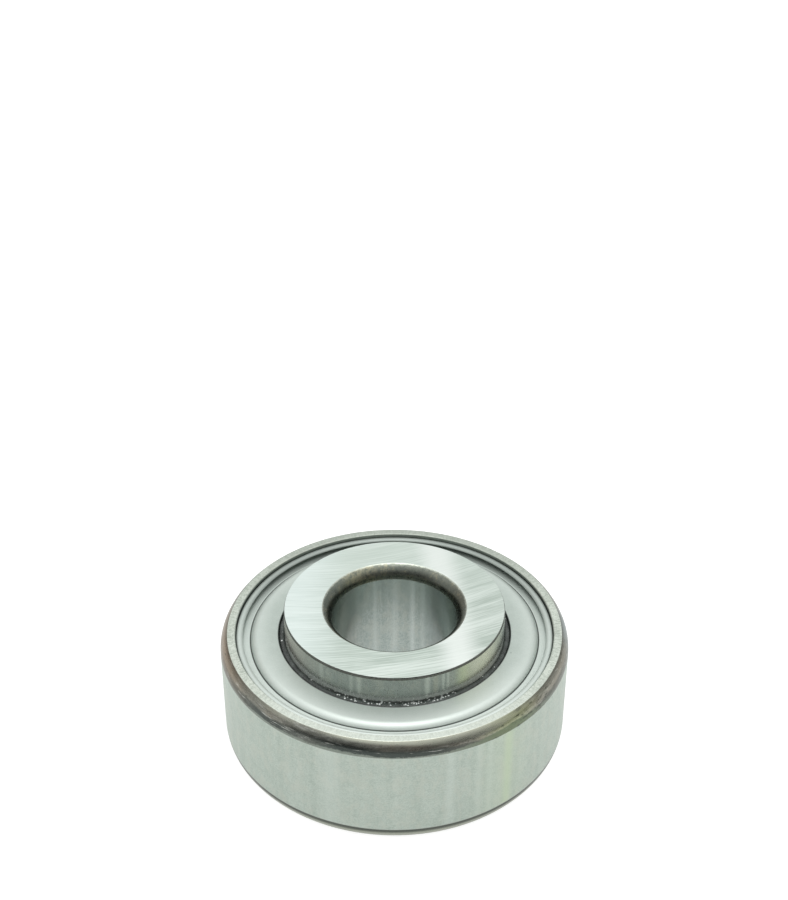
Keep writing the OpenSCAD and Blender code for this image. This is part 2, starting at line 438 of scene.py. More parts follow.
def make_scale():
    """Thin brown and grey skin that hardening leaves on unground corners, rubbed along the ring."""
    group, s, inside, give = effect("Hardening scale", {
        "Round": ("vector", None), "Across": ("value", 0.0), "Brownness": ("value", 0.5),
        "Grey": ("colour", (0.34, 0.35, 0.31, 1)), "Brown": ("colour", (0.34, 0.245, 0.165, 1)),
        "Rubbed": ("colour", (0.62, 0.63, 0.56, 1)), "Seed": ("value", 0.0)},
        {"Colour": "colour", "Roughness": "value", "Height": "value", "Blotch": "value"})
    x, y, _ = s.split(inside["Round"])
    across = inside["Across"]
    seed = inside["Seed"]
    broad = s.noise(s.vector(s.times(x, 2.5), s.times(y, 2.5), s.add(s.times(across, 0.25), seed)), 1.0, 3.0, 0.55)
    smear = s.noise(s.vector(s.times(x, 9.0), s.times(y, 9.0), s.add(s.times(across, 2.6), seed)), 1.0, 5.0, 0.68)
    blot = s.noise(s.vector(s.times(x, 14.0), s.times(y, 14.0), s.less(s.times(across, 2.0), seed)), 1.0, 5.0, 0.7)
    grit = s.noise(s.vector(s.times(x, 110.0), s.times(y, 110.0), s.times(across, 5.0)), 1.0, 3.0, 0.7)
    warm = s.ease(s.add(s.times(broad, 0.8), inside["Brownness"]), 0.55, 1.15)
    base = s.mix(warm, inside["Grey"], inside["Brown"])
    base = s.mix(s.times(s.ease(blot, 0.53, 0.66), 0.5), base, (0.12, 0.125, 0.105))
    base = s.mix(s.times(s.ease(smear, 0.56, 0.68), 0.6), base, inside["Rubbed"])
    shade = s.spread(s.add(s.times(broad, 0.25), s.times(grit, 0.75)), 0.3, 0.7, 0.66, 1.34)
    colour = s.mix(1.0, base, s.vector(shade, shade, shade), "MULTIPLY")
    give(Colour=colour, Roughness=s.spread(smear, 0.3, 0.7, 0.22, 0.36), Blotch=broad,
         Height=s.add(s.times(smear, 0.5), s.times(grit, 0.5)))
    return group


def make_bands():
    """Light or dark stripes down a round wall, at given degrees round the ring."""
    takes = {"Degrees": ("value", 0.0), "At": ("value", 0.0), "Width": ("value", 2.0)}
    group, s, inside, give = effect("Stripe", takes, {"Mask": "value"})
    off = s.math("ABSOLUTE", s.less(inside["Degrees"], inside["At"]))
    give(Mask=s.ease(s.math("DIVIDE", off, inside["Width"]), 1.0, 0.0))
    return group


PLACE = make_place()
STROKES = make_strokes()
MOTTLE = make_mottle()
NICKS = make_nicks()
SCALE = make_scale()
STRIPE = make_bands()


def finish(name, **constants):
    """A material with one Principled shader, and the numbers that are the same all over it."""
    material = bpy.data.materials.new(name)
    material.use_nodes = True
    material.node_tree.nodes.clear()
    s = Sheet(material.node_tree)
    shader = s.node("ShaderNodeBsdfPrincipled")
    out = s.node("ShaderNodeOutputMaterial")
    s.tree.links.new(shader.outputs[0], out.inputs["Surface"])
    for key, value in constants.items():
        shader.inputs[key.replace("_", " ")].default_value = value
    return material, s, shader.inputs


def grain_map(s):
    return s.node("ShaderNodeUVMap", uv_map="grain").outputs[0]


def grain_tangent(s, shader):
    s.feed(shader["Tangent"], s.node("ShaderNodeTangent", direction_type="UV_MAP", uv_map="grain").outputs[0])


def striped(s, colour, degrees, stripes):
    """Tints a colour with stripes, each given as (degrees, half width, strength, colour)."""
    for at, width, strength, tint in stripes:
        mask = s.group(STRIPE, Degrees=degrees, At=at, Width=width)["Mask"]
        colour = s.mix(s.times(mask, strength), colour, tint)
    return colour


def end_face_steel():
    """Inner ring's end faces: bright, with the long strokes of a face grinder."""
    material, s, shader = finish("ground_end_face", Metallic=1.0, Anisotropic=0.6, Anisotropic_Rotation=0.25)
    place = s.group(PLACE)
    grain = s.group(STROKES, Vector=grain_map(s), Length=7.0, Pitch=0.20, Seed=3.0)
    long = s.group(STROKES, Vector=grain_map(s), Length=12.0, Pitch=0.6, Seed=11.0)
    mottle = s.group(MOTTLE, Point=place["Point"], Size=5.0, Seed=2.0)
    nicks = s.group(NICKS, Point=place["Point"], Spacing=3.2, Share=0.25, Seed=4.0)
    tone = s.add(s.times(grain["Strokes"], 0.5), s.add(s.times(long["Streaks"], 0.35), s.times(mottle["Mottle"], 0.15)))
    colour = s.mix(s.ease(tone, 0.39, 0.61), (0.47, 0.545, 0.49), (0.77, 0.84, 0.79))
    x, y, _ = s.split(place["Point"])
    # Painted light: the end face is lighter towards the back.
    colour = s.mix(s.ease(y, -2.0, 11.0, 0.0, 0.5), colour, (0.76, 0.84, 0.785))
    # Painted reflection: a pale strip from back to front, right of the middle, where a strip light shows.
    off = s.math("ABSOLUTE", s.add(s.less(x, 7.0), s.times(y, 0.105)))
    colour = s.mix(s.ease(off, 3.6, 0.3, 0.0, 0.75), colour, (0.95, 0.99, 0.96))
    # Painted sheen: paler and bluer towards the left.
    colour = s.mix(s.ease(x, -5.0, -13.0, 0.0, 0.55), colour, (0.88, 0.97, 0.96))
    colour = s.mix(s.times(nicks["Mask"], 0.5), colour, (0.40, 0.45, 0.43))
    s.feed(shader["Base Color"], colour)
    s.feed(shader["Roughness"], s.spread(tone, 0.3, 0.7, 0.42, 0.32))
    s.feed(shader["Normal"], s.bump(grain["Strokes"], 0.22, 0.00004))
    grain_tangent(s, shader)
    return material


def outside_steel(name, dark, pale, roughness, seed, stripes, anisotropy=0.85, depth=0.12, foot=None):
    """Ground round surface: satin, with fine strokes round the ring and painted reflections as stripes. foot
    gives a height under which it is painted paler and less metallic, painted light over the grease's dark
    reflection, with a dark ragged line of grease and painted glints low on its front."""
    material, s, shader = finish(name, Metallic=1.0, Anisotropic=anisotropy, Anisotropic_Rotation=0.25)
    place = s.group(PLACE)
    around = s.scaled(place["Round"], (OUTER_R,) * 3)
    x, y, _ = s.split(around)
    grain = s.noise(s.vector(s.times(x, 0.9), s.times(y, 0.9), s.times(place["Height"], 7.0)), 1.0, 3.0, 0.6)
    bands = s.noise(s.vector(s.times(x, 0.6), s.times(y, 0.6), s.times(place["Height"], 0.02)), 1.0, 3.0, 0.6)
    mottle = s.group(MOTTLE, Point=place["Point"], Size=0.5, Seed=seed)
    nicks = s.group(NICKS, Point=place["Point"], Spacing=2.6, Share=0.14, Seed=seed + 5.0)
    tone = s.add(s.times(grain, 0.15), s.add(s.times(bands, 0.2), s.add(s.times(mottle["Speckle"], 0.45),
                                                                      s.times(mottle["Mottle"], 0.2))))
    colour = s.mix(s.ease(tone, 0.38, 0.62), dark, pale)
    patch = s.noise(s.scaled(place["Point"], (1.0, 1.0, 0.6)), 0.8, 4.0, 0.65)
    colour = s.mix(s.ease(patch, 0.46, 0.62, 0.0, 0.35), colour, s.mix(0.5, pale, (0.60, 0.59, 0.50)))
    # Painted reflections: pale and tinted bands of the room's lights, and darker sides where given.
    colour = striped(s, colour, place["Degrees"], stripes)
    if foot:
        # Painted light: low on the wall the colour is paler and less metallic, over the dark reflection of the grease.
        painted_light_foot = s.ease(place["Height"], foot + 1.1, foot + 0.45)
        colour = s.mix(painted_light_foot, colour, s.mix(0.3, (0.60, 0.65, 0.61), colour))
        s.feed(shader["Metallic"], s.spread(painted_light_foot, 0.0, 1.0, 1.0, 0.25))
        side = s.math("ABSOLUTE", place["Degrees"])
        ragged = s.times(s.less(s.noise(place["Point"], 2.4), 0.5), 0.5)
        line = s.ease(s.add(place["Height"], ragged), foot + 0.22, foot + 0.10)
        line = s.times(line, s.ease(side, 44.0, 30.0))
        # Painted glints: white dots on the front of the wall's foot, over a dark ragged line of grease.
        wet = s.cells(place["Point"], 3.1)
        dots = s.times(s.ease(wet["Distance"], 0.44, 0.32), s.math("LESS_THAN", s.split(wet["Color"])[0], 0.45))
        colour = s.mix(s.times(line, 0.75), colour, (0.03, 0.038, 0.034))
        colour = s.mix(s.times(dots, line), colour, (0.95, 0.98, 0.96))
    colour = s.mix(s.times(nicks["Mask"], 0.4), colour, (0.25, 0.29, 0.27))
    s.feed(shader["Base Color"], colour)
    s.feed(shader["Roughness"], s.spread(tone, 0.3, 0.7, roughness + 0.03, roughness - 0.03))
    s.feed(shader["Normal"], s.bump(s.add(grain, s.times(mottle["Speckle"], 0.5)), depth, 0.00003))
    grain_tangent(s, shader)
    return material


def ring_face_steel():
    """Outer ring's narrow end faces: silvery, with faint radial marks and small white scratches."""
    material, s, shader = finish("turned_ring_face", Metallic=1.0)
    place = s.group(PLACE)
    x, y, _ = s.split(place["Round"])
    marks = s.noise(s.vector(s.times(x, 70.0), s.times(y, 70.0), s.times(place["Radius"], 1.4)), 1.0, 2.0, 0.6)
    patches = s.noise(s.vector(s.times(x, 6.0), s.times(y, 6.0), s.times(place["Radius"], 1.2)), 1.0, 2.0, 0.5)
    mottle = s.group(MOTTLE, Point=place["Point"], Size=0.4, Seed=12.0)
    nicks = s.group(NICKS, Point=s.scaled(place["Point"], (1.0, 1.7, 1.0)), Spacing=0.8, Share=0.28, Seed=9.0)
    tone = s.add(s.times(marks, 0.4), s.add(s.times(patches, 0.15), s.times(mottle["Speckle"], 0.45)))
    colour = s.mix(s.ease(tone, 0.37, 0.63), (0.49, 0.54, 0.475), (0.78, 0.83, 0.755))
    # Painted light and shade: the face is lighter at the front and darker at the back.
    colour = s.mix(s.ease(y, -0.45, -0.95, 0.0, 0.45), colour, (0.84, 0.89, 0.82))
    colour = s.mix(s.ease(y, 0.1, 0.9, 0.0, 0.5), colour, (0.42, 0.46, 0.41))
    scratched = s.times(nicks["Mask"], 0.7)
    colour = s.mix(scratched, colour, (0.93, 0.96, 0.93))
    s.feed(shader["Base Color"], colour)
    s.feed(shader["Roughness"], s.spread(tone, 0.3, 0.7, 0.44, 0.36))
    s.feed(shader["Normal"], s.bump(s.add(s.times(marks, 0.4), mottle["Speckle"]), 0.16, 0.00004))
    return material


def corner_scale(name, seed, brownness, stripes, outward=1.0):
    """Unground turned corner: smooth dark steel under a thin skin of scale, worn pale at its edges.
    outward is below 0 where the corner's radius falls as its height grows."""
    material, s, shader = finish(name, Metallic=1.0)
    place = s.group(PLACE)
    across = s.add(s.times(place["Radius"], outward), s.times(place["Height"], 0.7))
    skin = s.group(SCALE, Round=place["Round"], Across=across, Brownness=brownness, Seed=seed)
    colour = striped(s, skin["Colour"], place["Degrees"], stripes)
    s.feed(shader["Base Color"], colour)
    s.feed(shader["Roughness"], skin["Roughness"])
    s.feed(shader["Normal"], s.bump(skin["Height"], 0.10, 0.00005))
    return material, s, shader, place, skin, colour


def outer_corner_scale():
    """Upper corner of the outer ring: brown on the left, painted shade as a dark band low on its front, a painted
    highlight along its crease, grey fringe.
    """
    stripes = (
        (-80.0, 34.0, 0.75, (0.44, 0.32, 0.215)),
        (38.0, 17.0, 0.7, (0.49, 0.53, 0.32)),
        (66.0, 14.0, 0.4, (0.47, 0.45, 0.39)),
        (92.0, 16.0, 0.7, (0.30, 0.40, 0.43)),
    )
    material, s, shader, place, skin, colour = corner_scale("scaled_corner", 1.7, 0.28, stripes, -0.7)
    low = OUTER_W - OUTER_CORNER[1]
    wander = s.times(s.less(skin["Blotch"], 0.5), 0.9)
    height = s.add(place["Height"], wander)
    rough_edge = s.noise(s.scaled(place["Point"], (1.0, 1.0, 2.0)), 2.2, 4.0, 0.7)
    edge = s.add(height, s.times(s.less(rough_edge, 0.5), 0.5))
    right = s.group(STRIPE, Degrees=place["Degrees"], At=38.0, Width=29.0)["Mask"]
    middle = s.group(STRIPE, Degrees=place["Degrees"], At=0.0, Width=14.0)["Mask"]
    edge = s.add(edge, s.less(s.times(middle, 0.2), s.times(right, 0.55)))
    kept = s.group(STRIPE, Degrees=place["Degrees"], At=-28.0, Width=14.0)["Mask"]
    band_top = s.add(height, s.less(s.times(right, 0.3), s.times(kept, 0.16)))
    band_top = s.ease(band_top, low + 1.3, low + 0.85)
    painted_shade_band = s.times(s.ease(edge, low + 0.2, low + 0.36), band_top)
    side = s.math("ABSOLUTE", place["Degrees"])
    eased = s.math("MAXIMUM", s.times(right, 0.4), s.times(kept, 0.22))
    front = s.times(s.ease(side, 95.0, 35.0, 0.2, 0.9), s.less(1.0, eased))
    # Painted shade: a dark band low on the front of the corner.
    colour = s.mix(s.times(painted_shade_band, front), colour, (0.045, 0.058, 0.055))
    fringe = s.ease(edge, low + 0.42, low + 0.22, 0.0, 0.8)
    colour = s.mix(fringe, colour, s.mix(right, (0.20, 0.235, 0.205), (0.115, 0.155, 0.095)))
    # Painted highlight: a pale line along the crease with the ground outside.
    crease_highlight = s.ease(place["Height"], low + 0.09, low + 0.02)
    colour = s.mix(s.times(crease_highlight, 0.6), colour, (0.55, 0.60, 0.55))
    colour = s.mix(s.ease(side, 45.0, 75.0, 0.0, 0.42), colour, (0.09, 0.095, 0.075))
    x, y, _ = s.split(place["Round"])
    streaks = s.noise(s.vector(s.times(x, 9.0), s.times(y, 9.0), s.times(height, 5.5)), 1.0, 4.0, 0.65)
    often = s.group(STRIPE, Degrees=place["Degrees"], At=-34.0, Width=30.0)["Mask"]
    streaks = s.ease(s.add(streaks, s.times(often, 0.06)), 0.59, 0.70, 0.0, 0.65)
    streaks = s.times(streaks, s.ease(height, low + 0.3, low + 0.6))
    colour = s.mix(streaks, colour, (0.66, 0.67, 0.62))
    spots = s.noise(s.vector(s.times(x, 20.0), s.times(y, 20.0), s.times(height, 3.0)), 1.0, 4.0, 0.7)
    spotted = s.group(STRIPE, Degrees=place["Degrees"], At=46.0, Width=34.0)["Mask"]
    spots = s.ease(s.add(spots, s.times(spotted, 0.07)), 0.60, 0.70, 0.0, 0.75)
    colour = s.mix(spots, colour, (0.07, 0.08, 0.065))
    top = s.add(place["Height"], s.times(wander, 0.5))
    rubbed = s.group(STRIPE, Degrees=place["Degrees"], At=26.0, Width=28.0)["Mask"]
    worn = s.ease(s.add(top, s.times(rubbed, 0.5)), OUTER_W - 0.45, OUTER_W - 0.15)
    worn = s.times(s.times(worn, s.less(1.0, kept)), s.ease(side, 60.0, 25.0, 0.0, 0.75))
    colour = s.mix(worn, colour, (0.70, 0.72, 0.60))
    under = s.times(s.ease(top, OUTER_W - 0.32, OUTER_W - 0.08), s.ease(side, 25.0, 50.0, 0.0, 0.45))
    colour = s.mix(under, colour, (0.14, 0.14, 0.115))
    s.feed(shader["Base Color"], colour)
    return material


def low_corner_scale():
    """Lower corner of the outer ring: painted shade as a dark line under the ground outside, a painted highlight along
    the crease, then plain grey.
    """
    material, s, shader, place, skin, colour = corner_scale("scaled_low_corner", 4.4, 0.0, ())
    crease = OUTER_CORNER[1]
    colour = s.mix(0.75, colour, (0.40, 0.43, 0.345))
    # Painted shade: dark just under the crease, with a painted highlight as a pale line along the crease.
    dark = s.ease(place["Height"], crease - 0.95, crease - 0.35)
    crease_highlight = s.ease(place["Height"], crease - 0.12, crease - 0.02)
    colour = s.mix(s.times(dark, 0.85), colour, (0.05, 0.06, 0.052))
    colour = s.mix(s.times(crease_highlight, 0.8), colour, (0.50, 0.54, 0.50))
    s.feed(shader["Base Color"], colour)
    return material


def bore_corner_scale():
    """Corner of the bore, rubbed bright and ragged where the end face cuts it."""
    stripes = ((-150.0, 26.0, 0.55, (0.40, 0.385, 0.27)), (140.0, 24.0, 0.35, (0.37, 0.36, 0.32)),
               (-95.0, 45.0, 0.75, (0.20, 0.24, 0.215)), (100.0, 42.0, 0.6, (0.25, 0.26, 0.235)))
    material, s, shader, place, skin, colour = corner_scale("scaled_bore_corner", 8.3, 0.05, stripes)
    # Darker below the corner's top edge, with a ragged boundary.
    drop = s.less(INNER_W, place["Height"])
    ragged = s.noise(place["Point"], 2.6, 4.0, 0.7)
    darker_lower = s.add(s.times(drop, 0.6), s.times(ragged, 0.9))
    darker_lower = s.times(s.ease(darker_lower, 0.15, 0.65, 0.4, 0.72), s.ease(drop, 0.8, 1.6, 1.0, 0.4))
    colour = s.mix(darker_lower, colour, (0.14, 0.158, 0.132))
    edge_r = BORE_R + BORE_CORNER[0]
    blots = s.noise(s.scaled(place["Point"], (1.0, 1.0, 0.6)), 1.5, 5.0, 0.75)
    tan = s.group(STRIPE, Degrees=place["Degrees"], At=-148.0, Width=42.0)["Mask"]
    tan = s.ease(s.add(blots, s.times(tan, 0.12)), 0.52, 0.68, 0.0, 0.45)
    colour = s.mix(tan, colour, (0.46, 0.43, 0.30))
    colour = s.mix(s.ease(blots, 0.47, 0.34, 0.0, 0.3), colour, (0.06, 0.075, 0.07))
    worn = s.ease(s.add(place["Radius"], s.times(ragged, 0.50)), edge_r + 0.02, edge_r + 0.22)
    colour = s.mix(s.times(worn, 0.7), colour, (0.66, 0.70, 0.62))
    s.feed(shader["Base Color"], colour)
    return material


def small_corner_scale():
    """Small unground corner outside the inner ring's end faces: a thin dark line."""
    material, s, shader, place, skin, colour = corner_scale("scaled_small_corner", 5.1, 0.0, ())
    s.feed(shader["Base Color"], s.mix(0.8, colour, (0.075, 0.08, 0.07)))
    return material


def cap_steel():
    """Pressed cap: smooth satin plated sheet, painted lighter on its crown and front web and painted darker on its back
    rim, with painted shade in the gap at its outer edge, a dark line in the crease at the foot of its dish and grease
    at its inner edge.
    """
    material, s, shader = finish("satin_cap_sheet", Metallic=0.55, Specular_IOR_Level=0.5)
    place = s.group(PLACE)
    mottle = s.group(MOTTLE, Point=place["Point"], Size=0.6, Seed=7.0)
    soft = s.group(MOTTLE, Point=place["Point"], Size=6.0, Seed=1.0)
    nicks = s.group(NICKS, Point=place["Point"], Spacing=2.4, Share=0.22, Seed=21.0)
    tone = s.add(s.times(mottle["Mottle"], 0.3), s.add(s.times(soft["Mottle"], 0.4), s.times(mottle["Speckle"], 0.3)))
    colour = s.mix(s.ease(tone, 0.36, 0.64), (0.52, 0.59, 0.545), (0.62, 0.69, 0.645))
    # Painted light: lighter towards the outside of the crown and at the front, and on the web and rim at the front.
    painted_light = s.times(s.ease(place["Radius"], CROWN_R - 1.6, CROWN_R + 0.2), 0.35)
    x, y, _ = s.split(place["Round"])
    painted_light = s.add(painted_light, s.ease(y, -0.3, -0.95, 0.0, 0.3))
    outer = s.ease(place["Radius"], FOOT_R + 0.12, FOOT_R + 0.3)
    web = s.times(s.times(outer, s.ease(y, -0.4, -0.9)), 0.75)
    colour = s.mix(s.math("MAXIMUM", painted_light, web), colour, (0.80, 0.86, 0.82))
    # Painted shade: the web and rim darker at the back.
    colour = s.mix(s.times(s.times(outer, s.ease(y, -0.2, 0.8)), 0.62), colour, (0.17, 0.195, 0.18))
    colour = s.mix(s.times(nicks["Mask"], 0.6), colour, (0.25, 0.29, 0.27))
    # A dark line in the crease at the foot of the dish, left off at the back; painted shade in the gap at the cap's
    # outer edge; dark grease at its inner edge.
    crease = s.ease(s.math("ABSOLUTE", s.less(place["Radius"], FOOT_R + 0.01)), 0.11, 0.05)
    gap_shade = s.ease(place["Radius"], RECESS_R - 0.22, RECESS_R - 0.08)
    greasy = s.ease(place["Radius"], SHOULDER_R + CAP_GAP + 0.16, SHOULDER_R + CAP_GAP + 0.06, 0.0, 0.9)
    crease = s.times(crease, s.ease(y, 0.9, 0.6))
    grease_shade_and_crease = s.math("MAXIMUM", s.math("MAXIMUM", crease, gap_shade), greasy)
    colour = s.mix(s.times(grease_shade_and_crease, 0.94), colour, (0.025, 0.031, 0.028))
    s.feed(shader["Base Color"], colour)
    s.feed(shader["Roughness"], s.spread(tone, 0.3, 0.7, 0.46, 0.38))
    s.feed(shader["Normal"], s.bump(s.add(mottle["Speckle"], nicks["Height"]), 0.08, 0.00003))
    return material


def recess_steel():
    """Turned surfaces inside the rings, in shade."""
    material, s, shader = finish("turned_recess", Metallic=1.0)
    place = s.group(PLACE)
    mottle = s.group(MOTTLE, Point=place["Point"], Size=0.6, Seed=3.0)["Mottle"]
    s.feed(shader["Base Color"], s.mix(mottle, (0.20, 0.22, 0.20), (0.36, 0.39, 0.36)))
    s.feed(shader["Roughness"], s.spread(mottle, 0.3, 0.7, 0.45, 0.30))
    s.feed(shader["Normal"], s.bump(mottle, 0.15, 0.00003))
    return material


def raceway_steel():
    """Honed raceways."""
    material, s, shader = finish("honed_raceway", Metallic=1.0)
    place = s.group(PLACE)
    lines = s.noise(s.vector(0.0, 0.0, s.times(place["Height"], 30.0)), 1.0, 2.0, 0.5)
    s.feed(shader["Base Color"], s.mix(lines, (0.60, 0.62, 0.61), (0.72, 0.74, 0.73)))
    s.feed(shader["Roughness"], s.spread(lines, 0.3, 0.7, 0.14, 0.08))
    return material


def seal_rubber():
    material, s, shader = finish("seal_rubber", Metallic=0.0, Specular_IOR_Level=0.4)
    place = s.group(PLACE)
    mottle = s.group(MOTTLE, Point=place["Point"], Size=0.3, Seed=5.0)["Mottle"]
    s.feed(shader["Base Color"], s.mix(mottle, (0.012, 0.012, 0.012), (0.03, 0.03, 0.028)))
    s.feed(shader["Roughness"], s.spread(mottle, 0.3, 0.7, 0.62, 0.42))
    s.feed(shader["Normal"], s.bump(mottle, 0.3, 0.00003))
    return material


def cage_plastic():
    material, s, shader = finish("cage_plastic", Metallic=0.0, Subsurface_Weight=0.08)
    place = s.group(PLACE)
    mottle = s.group(MOTTLE, Point=place["Point"], Size=0.8, Seed=6.0)["Mottle"]
    s.feed(shader["Base Color"], s.mix(mottle, (0.62, 0.54, 0.36), (0.74, 0.67, 0.48)))
    s.feed(shader["Roughness"], s.spread(mottle, 0.3, 0.7, 0.45, 0.32))
    s.feed(shader["Normal"], s.bump(mottle, 0.15, 0.00005))
    return material


def ball_steel():
    material, s, shader = finish("lapped_ball", Metallic=1.0)
    place = s.group(PLACE)
    haze = s.group(MOTTLE, Point=place["Point"], Size=1.5, Seed=8.0)["Mottle"]
    s.feed(shader["Base Color"], s.mix(haze, (0.66, 0.68, 0.68), (0.74, 0.76, 0.76)))
    s.feed(shader["Roughness"], s.spread(haze, 0.3, 0.7, 0.09, 0.05))
    return material


def wet_grease():
    """Dark worked grease, wet and lumpy, with painted glints near the wall, most on its front."""
    material, s, shader = finish("dark_grease", Metallic=0.0, Coat_Weight=0.35, Coat_Roughness=0.12)
    place = s.group(PLACE)
    lumps = s.noise(place["Point"], 4.5, 3.0, 0.65)
    smears = s.noise(place["Point"], 0.6, 2.0, 0.5)
    colour = s.mix(s.ease(smears, 0.4, 0.7), (0.015, 0.022, 0.019), (0.07, 0.085, 0.078))
    side = s.math("ABSOLUTE", place["Degrees"])
    # Painted paler near the wall, most on the front.
    inward = s.ease(place["Radius"], SHOULDER_R + 0.62, SHOULDER_R + 0.40)
    thin = s.times(inward, s.ease(side, 50.0, 30.0, 0.3, 1.0))
    colour = s.mix(s.times(thin, 0.6), colour, (0.10, 0.12, 0.11))
    # Painted glints: white dots near the wall, most on the front.
    wet = s.cells(place["Point"], 3.1)
    pick = s.split(wet["Color"])
    painted_glint = s.ease(wet["Distance"], 0.42, 0.30)
    often = s.times(s.ease(side, 34.0, 24.0, 0.06, 0.85), inward)
    painted_glint = s.times(painted_glint, s.math("LESS_THAN", pick[0], often))
    colour = s.mix(painted_glint, colour, (0.90, 0.94, 0.92))
    s.feed(shader["Base Color"], colour)
    s.feed(shader["Roughness"], s.spread(lumps, 0.3, 0.7, 0.16, 0.4))
    s.feed(shader["Normal"], s.bump(lumps, 0.7, 0.00015))
    return material


FOOT_R = RIM_REACH - CURL_R - WEB_W
CROWN_R = FOOT_R - 1.1

# Stripes painted down the ground round walls: the pale and tinted bands are painted reflections of the room's lights,
# and the bore's two wide dark stripes darken its sides.
PALE_REFLECTION = (0.64, 0.71, 0.65)
GREEN_REFLECTION = (0.58, 0.68, 0.49)
OUTSIDE_REFLECTIONS = ((-20.0, 6.0, 0.35, PALE_REFLECTION), (17.1, 2.5, 0.35, PALE_REFLECTION), (26.7, 2.0, 0.3, PALE_REFLECTION),
                   (30.9, 2.0, 0.25, PALE_REFLECTION), (37.6, 3.0, 0.6, GREEN_REFLECTION), (36.0, 15.0, 0.22, GREEN_REFLECTION))
INNER_PALE_REFLECTION = (0.66, 0.69, 0.64)
INNER_REFLECTIONS = ((-72.0, 44.0, 0.85, (0.56, 0.52, 0.48)), (-39.0, 2.5, 0.4, INNER_PALE_REFLECTION), (-21.8, 1.6, 0.45, INNER_PALE_REFLECTION),
                 (-17.6, 2.2, 0.55, INNER_PALE_REFLECTION), (16.3, 2.2, 0.8, INNER_PALE_REFLECTION), (20.5, 2.2, 0.45, (0.56, 0.55, 0.46)),
                 (24.7, 1.3, 0.7, INNER_PALE_REFLECTION), (27.2, 1.3, 0.6, INNER_PALE_REFLECTION),
                 (37.0, 7.0, 0.75, (0.54, 0.61, 0.37)), (52.0, 28.0, 0.95, (0.84, 0.81, 0.67)))
BORE_PALE_REFLECTION = (0.66, 0.72, 0.69)
BORE_REFLECTIONS_AND_DARK_SIDES = ((-161.0, 4.0, 0.45, BORE_PALE_REFLECTION), (180.0, 6.0, 0.35, BORE_PALE_REFLECTION), (-180.0, 6.0, 0.35, BORE_PALE_REFLECTION),
                (162.2, 4.0, 0.6, BORE_PALE_REFLECTION), (151.4, 5.0, 0.3, BORE_PALE_REFLECTION), (-120.0, 35.0, 0.5, (0.25, 0.245, 0.215)),
                (132.0, 26.0, 0.5, (0.22, 0.26, 0.26)))

MATERIALS = {
    "end_face": end_face_steel(),
    "outside": outside_steel("ground_outside", (0.43, 0.505, 0.445), (0.56, 0.63, 0.567), 0.36, 1.0, OUTSIDE_REFLECTIONS),
    "inner_outside": outside_steel("ground_inner_outside", (0.325, 0.355, 0.335), (0.40, 0.43, 0.405), 0.27, 14.0,
                                   INNER_REFLECTIONS, 0.7, 0.03, LEDGE_Z + DISH_RISE + SHEET_T),
    "bore": outside_steel("ground_bore", (0.36, 0.42, 0.39), (0.50, 0.56, 0.53), 0.25, 27.0, BORE_REFLECTIONS_AND_DARK_SIDES, 0.7, 0.06),
    "ring_face": ring_face_steel(),
    "corner": outer_corner_scale(),
    "low_corner": low_corner_scale(),
    "bore_corner": bore_corner_scale(),
    "small_corner": small_corner_scale(),
    "recess": recess_steel(),
    "raceway": raceway_steel(),
    "cap": cap_steel(),
    "grease": wet_grease(),
}


# Pieces
def outer_ring_section():
    half = Section()
    half.along(corner_curve(OUTER_R, OUTER_W, *OUTER_CORNER, 1, 1), "corner", 0.06)
    first = half.points[0]
    half.points[0] = (first[0], first[1], "outside", first[3])
    half.to(RECESS_R + RECESS_BEVEL, OUTER_W, "ring_face", 0.02)
    half.to(RECESS_R, OUTER_W - RECESS_BEVEL, "ring_face", 0.02)
    half.to(RECESS_R, LEDGE_Z, "recess")
    half.to(LAND_R, LEDGE_Z, "recess", 0.05)
    race = raceway_curve(1)
    half.to(*race[0], "recess", 0.05)
    half.along(race[1:], "raceway")
    return half.mirrored(MID_Z, "raceway").renamed({"corner": "low_corner"}, below=MID_Z)


def inner_ring_section():
    section = Section()
    for up, end in ((1, INNER_W), (-1, 0.0)):
        bore_curve = corner_curve(BORE_R, end, *BORE_CORNER, -1, up)
        small_curve = corner_curve(SHOULDER_R, end, *SHOULDER_CORNER, 1, up)
        race = raceway_curve(-1)
        half = Section()
        half.along(bore_curve, "bore_corner", 0.05)
        first = half.points[0]
        half.points[0] = (first[0], first[1], "bore", first[3])
        half.along(small_curve[::-1], "small_corner", 0.03)
        start = len(bore_curve)
        point = half.points[start]
        half.points[start] = (point[0], point[1], "end_face", point[3])
        land_z = race[0][1] if up > 0 else 2 * MID_Z - race[0][1]
        half.to(race[0][0], land_z, "inner_outside", 0.05)
        for r, z in race[1:]:
            half.to(r, z if up > 0 else 2 * MID_Z - z, "raceway")
        if up > 0:
            section.points = half.points
        else:
            points = half.points
            for i in range(len(points) - 1, -1, -1):
                r, z, _, soft = points[i]
                after = points[i + 1][2] if i + 1 < len(points) else "raceway"
                section.to(r, z, after, soft)
    return section


